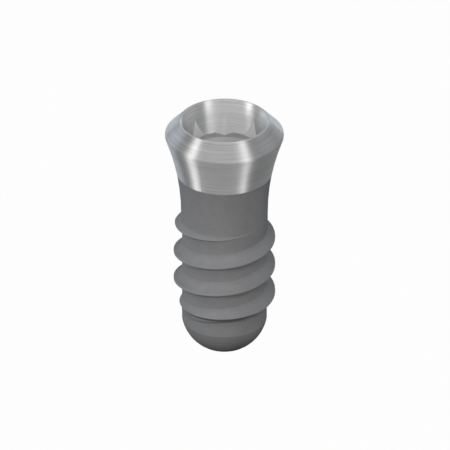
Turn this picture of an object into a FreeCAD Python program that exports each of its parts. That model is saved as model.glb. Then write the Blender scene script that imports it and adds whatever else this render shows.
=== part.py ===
# Dental implant: one turned titanium screw, standing on the flat end of its tip.
# Millimetres. The axis is Z, the tip is at Z = 0 and the mouth of the socket is at the top.
# Depths are measured down from the rim, heights up from the tip.

import FreeCAD
import Part

import math
import os

# Collar: flat rim, bevel, shoulder band and the hollow flare down to the neck
rim_radius = 1.85
shoulder_radius = 2.4
bevel_angle = 43.7
shoulder_band = 0.095
flare_radius = 10.2
neck_radius = 1.75

# Bone thread: one right-hand start, a long hollow flank above the crest, a fillet below it.
# Its section runs a little past the core inside and past the crest outside, where the blank ends it.
thread_pitch = 1.25
core_radius = 1.71
crest_radius = 2.05
crest_allowance = 0.03
root_overlap = 0.11
crest_land = 0.097
upper_flank_straight = 0.1
upper_flank_root_angle = 20.0
upper_flank_crest_angle = 78.0
lower_flank_drop = 0.05
lower_fillet_radius = 0.2
lower_fillet_root_angle = 6.0
front_crest_depth = 5.7
front_angle = -90.0
boolean_tolerance = 0.0001

# Turned blank that the thread is cut in: it makes both run-outs of the thread.
# The upper one is hollow. The lower one is a chamfer that leaves a low band of the thread's root.
upper_runout_depth = 4.32
upper_runout_radius = 0.55
upper_runout_inset = 0.006
lower_runout_depth = 8.02
lower_runout_angle = 42.3
root_band = 0.062
root_band_end_depth = 8.75
root_band_inset = 0.01
core_taper_depth = 4.5
core_taper = 0.6

# Tip: a dome that leaves the core at a faint crease and ends in a small flat
dome_depth = 9.07
dome_offset = 0.08
dome_crease = 0.03
tip_flat_radius = 0.8

# Socket: cone from the mouth, octagon, relief groove, lower cone and the screw hole
mouth_radius = 1.76
cone_half_angle = 8.0
octagon_across_flats = 3.1
octagon_sides = 8
groove_lip_depth = 1.39
groove_roof_angle = 64.0
groove_radius = 1.72
groove_floor_depth = 2.05
lower_cone_radius = 1.45
lower_cone_end_depth = 3.3
screw_hole_radius = 0.8
screw_hole_depth = 6.0
seat_angle = 45.0
drill_point_angle = 118.0


def radians_tan(angle):
    return math.tan(math.radians(angle))


# Heights of the main levels
dome_radius = core_radius - dome_offset + dome_crease
dome_rise = math.sqrt(dome_radius ** 2 - (core_radius - dome_offset) ** 2)
dome_centre_depth = dome_depth - dome_rise
dome_height = math.sqrt(dome_radius ** 2 - (tip_flat_radius - dome_offset) ** 2)
length = dome_centre_depth + dome_height


def at(radius, depth):
    """A point of the half section, from its radius and its depth below the rim."""
    return FreeCAD.Vector(radius, 0.0, length - depth)


def line(start, end):
    return Part.LineSegment(start, end).toShape()


def arc(start, middle, end):
    return Part.Arc(start, middle, end).toShape()


def turned(edges):
    """A solid of revolution from the edges of a closed half section."""
    face = Part.Face(Part.Wire(edges))
    return face.revolve(FreeCAD.Vector(0, 0, 0), FreeCAD.Vector(0, 0, 1), 360.0)


def turned_outline(points):
    corners = points + [points[0]]
    return turned([line(a, b) for a, b in zip(corners, corners[1:])])


# Blank without its thread: collar, flare, neck, core and dome
shoulder_depth = (shoulder_radius - rim_radius) / radians_tan(bevel_angle)
flare_depth = shoulder_depth + shoulder_band
flare_drop = shoulder_radius - neck_radius
flare_height = math.sqrt(flare_radius ** 2 - (flare_radius - flare_drop) ** 2)
flare_end_depth = flare_depth + flare_height
flare_middle = flare_height / 2.0
flare_middle_radius = neck_radius + flare_radius - math.sqrt(flare_radius ** 2 - flare_middle ** 2)
core_start_depth = core_taper_depth + core_taper
dome_middle_angle = math.atan2(core_radius - dome_offset, dome_rise) / 2.0
dome_middle_angle += math.atan2(tip_flat_radius - dome_offset, dome_height) / 2.0
dome_middle = at(
    dome_offset + dome_radius * math.sin(dome_middle_angle),
    dome_centre_depth + dome_radius * math.cos(dome_middle_angle),
)

blank = turned([
    line(at(0, 0), at(rim_radius, 0)),
    line(at(rim_radius, 0), at(shoulder_radius, shoulder_depth)),
    line(at(shoulder_radius, shoulder_depth), at(shoulder_radius, flare_depth)),
    arc(
        at(shoulder_radius, flare_depth),
        at(flare_middle_radius, flare_end_depth - flare_middle),
        at(neck_radius, flare_end_depth),
    ),
    line(at(neck_radius, flare_end_depth), at(neck_radius, core_taper_depth)),
    line(at(neck_radius, core_taper_depth), at(core_radius, core_start_depth)),
    line(at(core_radius, core_start_depth), at(core_radius, dome_depth)),
    arc(at(core_radius, dome_depth), dome_middle, at(tip_flat_radius, length)),
    line(at(tip_flat_radius, length), at(0, length)),
    line(at(0, length), at(0, 0)),
])

# Turned envelope of the thread, its ends inside the core
root_radius = core_radius - root_overlap
upper_runout_start = neck_radius - upper_runout_inset
upper_runout_angle = math.acos(1.0 - (crest_radius - upper_runout_start) / upper_runout_radius)
root_band_radius = core_radius + root_band
lower_runout_rise = (crest_radius - root_band_radius) / radians_tan(lower_runout_angle)
lower_runout_end = lower_runout_depth + lower_runout_rise
root_band_end_radius = core_radius - root_band_inset


def on_runout(angle):
    """A point of the hollow upper run-out, from its slope to the axis."""
    return at(
        upper_runout_start + upper_runout_radius * (1.0 - math.cos(angle)),
        upper_runout_depth + upper_runout_radius * math.sin(angle),
    )


envelope = turned([
    line(at(0, upper_runout_depth), on_runout(0)),
    arc(on_runout(0), on_runout(upper_runout_angle / 2.0), on_runout(upper_runout_angle)),
    line(on_runout(upper_runout_angle), at(crest_radius, lower_runout_depth)),
    line(at(crest_radius, lower_runout_depth), at(root_band_radius, lower_runout_end)),
    line(at(root_band_radius, lower_runout_end), at(root_band_end_radius, root_band_end_depth)),
    line(at(root_band_end_radius, root_band_end_depth), at(0, root_band_end_depth)),
    line(at(0, root_band_end_depth), at(0, upper_runout_depth)),
])

# Section of the thread ridge, at the front crest of the lowest turn
turns_below = math.ceil((root_band_end_depth - front_crest_depth) / thread_pitch)
turns_above = math.ceil((front_crest_depth - upper_runout_depth) / thread_pitch)
land_lower_depth = front_crest_depth + turns_below * thread_pitch
flank_root_angle = math.radians(upper_flank_root_angle)
flank_crest_angle = math.radians(upper_flank_crest_angle)
flank_start_radius = core_radius + upper_flank_straight * math.tan(flank_root_angle)
flank_spread = math.cos(flank_root_angle) - math.cos(flank_crest_angle)
flank_radius = (crest_radius - flank_start_radius) / flank_spread
flank_centre_radius = flank_start_radius + flank_radius * math.cos(flank_root_angle)
flank_centre_depth = land_lower_depth - crest_land - flank_radius * math.sin(flank_crest_angle)
peak_radius = crest_radius + crest_allowance
peak_angle = math.acos((flank_centre_radius - peak_radius) / flank_radius)


def on_flank(angle):
    """A point of the hollow flank, from its slope to the axis."""
    return at(
        flank_centre_radius - flank_radius * math.cos(angle),
        flank_centre_depth + flank_radius * math.sin(angle),
    )


# Below the crest: nearly flat, then a fillet down to the core, a little past it at the root
fillet_root_angle = math.radians(lower_fillet_root_angle)
fillet_centre_radius = core_radius + lower_fillet_radius * math.cos(fillet_root_angle)
fillet_top_depth = land_lower_depth + lower_flank_drop
lower_flank_slope = lower_flank_drop / (crest_radius - fillet_centre_radius)
peak_upper = on_flank(peak_angle)
peak_lower = at(peak_radius, land_lower_depth - crest_allowance * lower_flank_slope)


def on_fillet(angle):
    """A point of the fillet below the crest, from its slope to the axis."""
    return at(
        fillet_centre_radius - lower_fillet_radius * math.cos(angle),
        fillet_top_depth + lower_fillet_radius * (1.0 - math.sin(angle)),
    )


fillet_top = on_fillet(math.pi / 2.0)
fillet_end = on_fillet(fillet_root_angle)
root_lower = FreeCAD.Vector(root_radius, 0.0, fillet_end.z)
flank_start = on_flank(flank_root_angle)
flank_inside = (flank_start_radius - root_radius) / math.tan(flank_root_angle)
root_upper = FreeCAD.Vector(root_radius, 0.0, flank_start.z + flank_inside)
section = Part.Wire([
    line(peak_lower, peak_upper),
    arc(peak_upper, on_flank((flank_root_angle + peak_angle) / 2.0), flank_start),
    line(flank_start, root_upper),
    line(root_upper, root_lower),
    line(root_lower, fillet_end),
    arc(fillet_end, on_fillet((fillet_root_angle + math.pi / 2.0) / 2.0), fillet_top),
    line(fillet_top, peak_lower),
])

# The ridge climbs in half turns that join end to end, each one cut to the envelope
helix = Part.makeHelix(thread_pitch, thread_pitch / 2.0, crest_radius)
helix.translate(FreeCAD.Vector(0, 0, length - land_lower_depth))
sweep = Part.BRepOffsetAPI.MakePipeShell(Part.Wire(helix.Edges))
sweep.setFrenetMode(True)
sweep.add(section)
sweep.build()
sweep.makeSolid()
half_turn = Part.Solid(sweep.shape())

threaded = blank
for step in range(2 * (turns_below + turns_above)):
    ridge = half_turn.copy()
    ridge.rotate(FreeCAD.Vector(0, 0, 0), FreeCAD.Vector(0, 0, 1), front_angle + 180.0 * step)
    ridge.translate(FreeCAD.Vector(0, 0, step * thread_pitch / 2.0))
    for piece in ridge.common([envelope], boolean_tolerance).Solids:
        threaded = threaded.fuse([piece], boolean_tolerance)

# Socket: turned cavity and the octagon that is cut in its cone
cone_slope = radians_tan(cone_half_angle)
octagon_inner_radius = octagon_across_flats / 2.0
octagon_corner_radius = octagon_inner_radius / math.cos(math.pi / octagon_sides)
roof_slope = 1.0 / radians_tan(groove_roof_angle)
lip_radius = mouth_radius - cone_slope * groove_lip_depth
groove_roof_depth = groove_lip_depth + (groove_radius - lip_radius) / roof_slope
lower_cone_end_radius = lower_cone_radius - cone_slope * (lower_cone_end_depth - groove_floor_depth)
screw_seat_drop = (lower_cone_end_radius - screw_hole_radius) / radians_tan(seat_angle)
screw_seat_depth = lower_cone_end_depth + screw_seat_drop
drill_tip_depth = screw_hole_depth + screw_hole_radius / radians_tan(drill_point_angle / 2.0)

cavity = turned_outline([
    at(0, 0),
    at(mouth_radius, 0),
    at(lip_radius, groove_lip_depth),
    at(groove_radius, groove_roof_depth),
    at(groove_radius, groove_floor_depth),
    at(lower_cone_radius, groove_floor_depth),
    at(lower_cone_end_radius, lower_cone_end_depth),
    at(screw_hole_radius, screw_seat_depth),
    at(screw_hole_radius, screw_hole_depth),
    at(0, drill_tip_depth),
])

corners = []
for side in range(octagon_sides + 1):
    angle = 2.0 * math.pi * side / octagon_sides
    corners.append(FreeCAD.Vector(
        octagon_corner_radius * math.cos(angle),
        octagon_corner_radius * math.sin(angle),
        length - groove_floor_depth,
    ))
octagon = Part.Face(Part.makePolygon(corners)).extrude(FreeCAD.Vector(0, 0, groove_floor_depth))

implant = threaded.cut(cavity.fuse(octagon)).Solids[0]

os.makedirs("parts", exist_ok=True)
implant.exportStep("parts/implant.step")
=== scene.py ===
import math

import bpy
from mathutils import Matrix, Vector

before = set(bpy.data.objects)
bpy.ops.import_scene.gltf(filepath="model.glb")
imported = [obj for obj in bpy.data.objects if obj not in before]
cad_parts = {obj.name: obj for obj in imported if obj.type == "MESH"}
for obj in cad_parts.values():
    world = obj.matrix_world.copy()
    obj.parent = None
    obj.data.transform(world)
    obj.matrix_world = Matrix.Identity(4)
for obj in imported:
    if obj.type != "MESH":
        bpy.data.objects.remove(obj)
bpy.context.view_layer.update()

MM = 0.001

# Sizes of the implant that the finishes follow, in millimetres; heights are above the tip
IMPLANT_HEIGHT = 10.2516
ROUGH_TOP = IMPLANT_HEIGHT - 2.33
MOUTH_RADIUS = 1.76
SOCKET_SLOPE = math.tan(math.radians(8.0))
SOCKET_BOTTOM = 3.4
SOCKET_WALL = 1.55
GROOVE_RADIUS = 1.72
OCTAGON_BOTTOM = IMPLANT_HEIGHT - 2.04
SCREW_RADIUS = 0.8
SCREW_PITCH = 0.4
SCREW_THREAD_TOP = IMPLANT_HEIGHT - 3.9
SCREW_THREAD_DEPTH = 0.2
CREST_RADIUS = 2.05

# Edges of the finishes, in millimetres: over what width one gives way to the next, and by how
# much a finish is taken past the face that it belongs to
SHARP_EDGE = 0.01
SOFT_EDGE = 0.02
ROUGH_TOP_EDGE = 0.03
OCTAGON_EDGE = 0.006
FACE_MARGIN = 0.02
MOUTH_MARGIN = 0.01
# How far below the crest radius the crests' painted highlight reaches
CREST_HIGHLIGHT_MARGIN = 0.015

# Colours of the finishes, from the dark to the light of their grain. The socket's and the
# octagon's colours are lightened as painted light, the bore's grey is painted shade, and the
# crests' colour is a painted highlight.
TURNED_DARK = (0.26, 0.26, 0.26, 1.0)
TURNED_LIGHT = (0.60, 0.60, 0.595, 1.0)
# The socket's turned metal, a lighter copy of the turned colours: painted light for the hollow
SOCKET_PAINTED_LIGHT_LOW = (0.46, 0.46, 0.46, 1.0)
SOCKET_PAINTED_LIGHT_HIGH = (0.80, 0.80, 0.795, 1.0)
# The bore below the octagon: painted shade, darker than the turned metal above it
BORE_PAINTED_SHADE = (0.18, 0.18, 0.18, 1.0)
# The milled octagon faces: their own finish and grain, lightened as painted light
MILLED_PAINTED_LIGHT_LOW = (0.78, 0.78, 0.775, 1.0)
MILLED_PAINTED_LIGHT_HIGH = (0.88, 0.88, 0.872, 1.0)
ETCHED_DARK = (0.165, 0.166, 0.170, 1.0)
ETCHED_LIGHT = (0.255, 0.256, 0.260, 1.0)
# Painted highlight along the thread's crests
CREST_PAINTED_HIGHLIGHT = (0.26, 0.26, 0.263, 1.0)

# Turning marks run round the axis, so the shine is drawn out up and down, a quarter turn off
TURNED_ROUGHNESS = 0.46
TURNED_SHINE_TURN = 0.25

# The marks' noise is stretched out round the axis, by its scale a metre, and packed along the
# surface, by its scale a millimetre; out along the radius it is packed closer still
MARKS_ROUND_SCALE = 350.0
MARKS_ALONG_SCALE = 19.0
MARKS_OUTWARD_SHARE = 2.3
MARKS_DETAIL = 3.0
MARKS_DEPTH = 0.0014
MARKS_ROUGHNESS = 0.08

# Grain and blotches of the etched part: their scales a metre, and the grain's depth in millimetres
GRAIN_SCALE = 16000.0
GRAIN_DETAIL = 3.0
GRAIN_SHARE = 0.6
GRAIN_STRENGTH = 0.35
GRAIN_DEPTH = 0.004
BLOTCH_SCALE = 2200.0
BLOTCH_DETAIL = 2.0
ETCHED_ROUGHNESS = 0.55

# The milled faces of the octagon, their own finish, with colours lightened as painted light for
# the deep socket
MILLED_METALLIC = 0.3
MILLED_ROUGHNESS = 0.5


class Link:
    """One value in a node tree: Python's own operators on it add Math nodes."""

    def __init__(self, tree, socket):
        self.tree = tree
        self.socket = socket

    def math(self, operation, *others, first=None):
        inputs = [self, *others] if first is None else [first, self]
        return self.tree.node("ShaderNodeMath", {"operation": operation}, inputs)

    def __add__(self, other):
        return self.math("ADD", other)

    def __sub__(self, other):
        return self.math("SUBTRACT", other)

    def __mul__(self, other):
        return self.math("MULTIPLY", other)

    def __truediv__(self, other):
        return self.math("DIVIDE", other)

    def __radd__(self, other):
        return self.math("ADD", first=other)

    def __rsub__(self, other):
        return self.math("SUBTRACT", first=other)

    def __rmul__(self, other):
        return self.math("MULTIPLY", first=other)

    def __rtruediv__(self, other):
        return self.math("DIVIDE", first=other)

    def clamped(self):
        settings = {"operation": "ADD", "use_clamp": True}
        return self.tree.node("ShaderNodeMath", settings, [self, 0.0])

    def above(self, limit, softness):
        """1 where the value is over the limit and 0 under it, with a soft edge."""
        return ((self - limit) / softness + 0.5).clamped()

    def below(self, limit, softness):
        """1 where the value is under the limit and 0 over it, with a soft edge."""
        return ((limit - self) / softness + 0.5).clamped()


class Tree:
    """Adds nodes to the node tree of a material or of the world."""

    def __init__(self, owner):
        owner.use_nodes = True
        self.nodes = owner.node_tree.nodes
        self.links = owner.node_tree.links
        self.nodes.clear()

    def node(self, kind, settings=None, values=None, output=0):
        """A new node; values fill its inputs in order, or by name, with numbers or links."""
        made = self.nodes.new(kind)
        for name, value in (settings or {}).items():
            setattr(made, name, value)
        in_order = isinstance(values, (list, tuple))
        pairs = enumerate(values) if in_order else (values or {}).items()
        for name, value in pairs:
            if isinstance(value, Link):
                self.links.new(value.socket, made.inputs[name])
            else:
                made.inputs[name].default_value = value
        return Link(self, made.outputs[output]) if made.outputs else None

    def other(self, link, output):
        """Another output of the node that the link comes from."""
        return Link(self, link.socket.node.outputs[output])

    def mix(self, amount, first, second):
        values = {0: amount, 6: first, 7: second}
        return self.node("ShaderNodeMix", {"data_type": "RGBA"}, values, output=2)

    def noise(self, place, scale, detail):
        values = {"Vector": place, "Scale": scale, "Detail": detail}
        return self.node("ShaderNodeTexNoise", {}, values)

    def bump(self, height, strength, distance):
        values = {"Strength": strength, "Distance": distance, "Height": height}
        return self.node("ShaderNodeBump", {}, values)


def titanium(name):
    """Turned titanium above and in the socket, lightened there as painted light, and blasted and
    etched grey titanium below; the bore's grey is painted shade and the crests' lighter colour a
    painted highlight.
    """
    material = bpy.data.materials.new(name)
    tree = Tree(material)
    place = tree.node("ShaderNodeTexCoord", output="Object")
    x = tree.node("ShaderNodeSeparateXYZ", {}, [place])
    y, z = tree.other(x, 1), tree.other(x, 2)
    height = z / MM
    radius = (x * x + y * y).math("SQRT") / MM

    over_bottom = height.above(SOCKET_BOTTOM, SOFT_EDGE)
    under_bottom = height.below(SOCKET_BOTTOM, SOFT_EDGE)
    outside = (radius.above(SOCKET_WALL, SOFT_EDGE) + under_bottom).clamped()
    etched_part = height.below(ROUGH_TOP, ROUGH_TOP_EDGE) * outside
    inside = radius.below(MOUTH_RADIUS + MOUTH_MARGIN, SOFT_EDGE) * over_bottom
    above_painted_bore_shade = height.above(OCTAGON_BOTTOM, SOFT_EDGE)
    # The octagon's faces lie outside the cone that they are cut in
    from_cone = radius + SOCKET_SLOPE * (IMPLANT_HEIGHT - height)
    past_cone = from_cone.above(MOUTH_RADIUS + OCTAGON_EDGE, OCTAGON_EDGE)
    within_groove = radius.below(GROOVE_RADIUS + FACE_MARGIN, SHARP_EDGE)
    milled_part = past_cone * within_groove * height.above(OCTAGON_BOTTOM, SHARP_EDGE)

    # Turning marks: long streaks round the axis, close together along the surface
    along = height + MARKS_OUTWARD_SHARE * radius
    streak = tree.node("ShaderNodeCombineXYZ", {}, [
        x * MARKS_ROUND_SCALE,
        y * MARKS_ROUND_SCALE,
        along * MARKS_ALONG_SCALE,
    ])
    marks = tree.noise(streak, 1.0, MARKS_DETAIL)
    # The screw hole's fine thread climbs one pitch a turn
    turn = y.math("ARCTAN2", x) / (2.0 * math.pi)
    climb = (height / SCREW_PITCH - turn).math("FRACT")
    groove = (climb - 0.5).math("ABSOLUTE") * 2.0 * SCREW_THREAD_DEPTH
    in_screw_hole = radius.below(SCREW_RADIUS + FACE_MARGIN, SHARP_EDGE)
    screw_part = in_screw_hole * height.below(SCREW_THREAD_TOP, SOFT_EDGE)
    relief = groove * screw_part * over_bottom + marks * MARKS_DEPTH
    turned_colour = tree.mix(marks, TURNED_DARK, TURNED_LIGHT)
    # Painted light: the socket takes a lighter copy of the turned colours
    socket_painted_light_colour = tree.mix(marks, SOCKET_PAINTED_LIGHT_LOW, SOCKET_PAINTED_LIGHT_HIGH)
    # Painted shade in the bore below the octagon, the socket's painted light above it
    inner_painted_light_and_shade = tree.mix(above_painted_bore_shade, BORE_PAINTED_SHADE, socket_painted_light_colour)
    turned = tree.node("ShaderNodeBsdfPrincipled", {}, {
        "Base Color": tree.mix(inside, turned_colour, inner_painted_light_and_shade),
        "Metallic": 1.0,
        "Roughness": TURNED_ROUGHNESS + marks * MARKS_ROUGHNESS,
        "Anisotropic": 1.0,
        "Anisotropic Rotation": TURNED_SHINE_TURN,
        "Normal": tree.bump(relief, 1.0, MM),
    })

    # Blasting and etching leave a fine grain and no shine; the thread's crests are a little
    # lighter, a painted highlight where their edges would catch the light
    grain = tree.noise(place, GRAIN_SCALE, GRAIN_DETAIL)
    blotch = tree.noise(place, BLOTCH_SCALE, BLOTCH_DETAIL)
    mottle = grain * GRAIN_SHARE + blotch * (1.0 - GRAIN_SHARE)
    etched_colour = tree.mix(mottle, ETCHED_DARK, ETCHED_LIGHT)
    # Where the crests' painted highlight goes
    painted_highlight_band = radius.above(CREST_RADIUS - CREST_HIGHLIGHT_MARGIN, SHARP_EDGE)
    etched = tree.node("ShaderNodeBsdfPrincipled", {}, {
        "Base Color": tree.mix(painted_highlight_band, etched_colour, CREST_PAINTED_HIGHLIGHT),
        "Metallic": 0.0,
        "Specular IOR Level": 0.0,
        "Roughness": ETCHED_ROUGHNESS,
        "Normal": tree.bump(grain, GRAIN_STRENGTH, GRAIN_DEPTH * MM),
    })
    # The milled faces' colour carries painted light
    milled = tree.node("ShaderNodeBsdfPrincipled", {}, {
        "Base Color": tree.mix(grain, MILLED_PAINTED_LIGHT_LOW, MILLED_PAINTED_LIGHT_HIGH),
        "Metallic": MILLED_METALLIC,
        "Roughness": MILLED_ROUGHNESS,
    })
    bright = tree.node("ShaderNodeMixShader", {}, [milled_part, turned, milled])
    whole = tree.node("ShaderNodeMixShader", {}, [etched_part, bright, etched])
    tree.node("ShaderNodeOutputMaterial", {}, [whole])
    return material


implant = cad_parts["implant"]
finish = titanium("titanium")
for slot in implant.material_slots:
    slot.material = finish

# Camera: a parallel view from 29.6 degrees above the horizon, as in the photograph
PIXELS = 450
PIXELS_PER_MM = 24.78
VIEW_ELEVATION = math.radians(29.6)
AXIS_PIXEL_X = 224.42
RIM_PIXEL_Y = 121.15
CAMERA_DISTANCE = 120.0 * MM
CLIP_START = 1.0 * MM
CLIP_END = 1000.0 * MM


def photo_camera():
    data = bpy.data.cameras.new("camera")
    data.type = "ORTHO"
    data.ortho_scale = PIXELS / PIXELS_PER_MM * MM
    data.clip_start = CLIP_START
    data.clip_end = CLIP_END
    camera = bpy.data.objects.new("camera", data)
    bpy.context.collection.objects.link(camera)
    right = Vector((1.0, 0.0, 0.0))
    up = Vector((0.0, math.sin(VIEW_ELEVATION), math.cos(VIEW_ELEVATION)))
    back = right.cross(up)
    rim_above_middle = (PIXELS / 2 - RIM_PIXEL_Y) / PIXELS_PER_MM
    middle = Vector((
        (PIXELS / 2 - AXIS_PIXEL_X) / PIXELS_PER_MM,
        0.0,
        IMPLANT_HEIGHT - rim_above_middle / math.cos(VIEW_ELEVATION),
    ))
    camera.location = middle * MM + back * CAMERA_DISTANCE
    camera.rotation_euler = Matrix((right, up, back)).transposed().to_euler()
    bpy.context.scene.camera = camera
    bpy.context.scene.view_settings.view_transform = "Standard"


# Studio: a pale floor and soft lamps at a plain level
LAMP_DISTANCE = 160.0 * MM
ROOM_LIGHT = 0.12
WHITE = (1.0, 1.0, 1.0, 1.0)
FLOOR_SIZE = 1000.0 * MM
FLOOR_GREY = (0.04, 0.04, 0.04, 1.0)
FLOOR_SHADOW = 0.015
MIRRORED_SKY = 0.78
MIRRORED_FLOOR = 0.25
PLAIN = (1.0, 1.0, 1.0)
COOL = (0.68, 0.84, 1.0)

# Name, azimuth and elevation in degrees, width and height in millimetres, level and colour.
# The low and high boxes at the sides draw the upright stripes on the turned metal
SOFT_BOXES = [
    ("front", -10.0, 37.0, 240.0, 20.0, 0.60, PLAIN),
    ("left_low", -64.0, 5.0, 46.0, 50.0, 0.37, PLAIN),
    ("left_high", -78.0, 45.0, 44.0, 40.0, 0.19, PLAIN),
    ("right_low", 42.0, 5.0, 40.0, 50.0, 0.23, PLAIN),
    ("right_high", 50.0, 50.0, 40.0, 50.0, 0.23, PLAIN),
    ("left_wide", -120.0, 10.0, 100.0, 80.0, 0.20, COOL),
    ("right_wide", 110.0, 40.0, 100.0, 80.0, 0.05, COOL),
    ("back", 180.0, 15.0, 200.0, 60.0, 0.25, COOL),
]


def seen(tree, mirrored_share):
    """1 for what the camera sees, and the share of it that shows in the metal."""
    camera = tree.node("ShaderNodeLightPath", output="Is Camera Ray")
    mirrored = tree.other(camera, "Is Glossy Ray") + tree.other(camera, "Is Transmission Ray")
    return (camera + mirrored * mirrored_share).clamped()


def white_room():
    world = bpy.data.worlds.new("studio")
    bpy.context.scene.world = world
    tree = Tree(world)
    strength = ROOM_LIGHT + seen(tree, MIRRORED_SKY) * (1.0 - ROOM_LIGHT)
    sky = tree.node("ShaderNodeBackground", {}, {"Color": WHITE, "Strength": strength})
    tree.node("ShaderNodeOutputWorld", {}, [sky])


def white_floor():
    bpy.ops.object.select_all(action="DESELECT")
    bpy.ops.mesh.primitive_plane_add(size=FLOOR_SIZE, location=(0.0, 0.0, 0.0))
    floor = bpy.context.object
    floor.name = "floor"
    paint = bpy.data.materials.new("floor_white")
    tree = Tree(paint)
    lit = tree.node("ShaderNodeBsdfDiffuse", {}, {"Color": FLOOR_GREY})
    glow = tree.node("ShaderNodeEmission", {}, {"Color": WHITE, "Strength": 1.0})
    glow_share = seen(tree, MIRRORED_FLOOR) * (1.0 - FLOOR_SHADOW)
    whole = tree.node("ShaderNodeMixShader", {}, [glow_share, lit, glow])
    tree.node("ShaderNodeOutputMaterial", {}, [whole])
    floor.data.materials.append(paint)


def soft_box(name, azimuth, elevation, width, height, level, colour):
    """A lamp that faces the implant, azimuth 0 at the front and 90 on the right, sizes in mm.
    Its level is what it adds to a white matt surface that faces it."""
    data = bpy.data.lights.new(name, "AREA")
    data.shape = "RECTANGLE"
    data.size = width * MM
    data.size_y = height * MM
    data.energy = level * (math.pi * LAMP_DISTANCE) ** 2
    data.color = colour
    lamp = bpy.data.objects.new(name, data)
    bpy.context.collection.objects.link(lamp)
    turn, lift = math.radians(azimuth), math.radians(elevation)
    reach = math.cos(lift)
    way = Vector((math.sin(turn) * reach, -math.cos(turn) * reach, math.sin(lift)))
    lamp.location = Vector((0.0, 0.0, IMPLANT_HEIGHT / 2 * MM)) + way * LAMP_DISTANCE
    lamp.rotation_euler = way.to_track_quat("Z", "Y").to_euler()


photo_camera()
white_room()
white_floor()
for lamp_values in SOFT_BOXES:
    soft_box(*lamp_values)
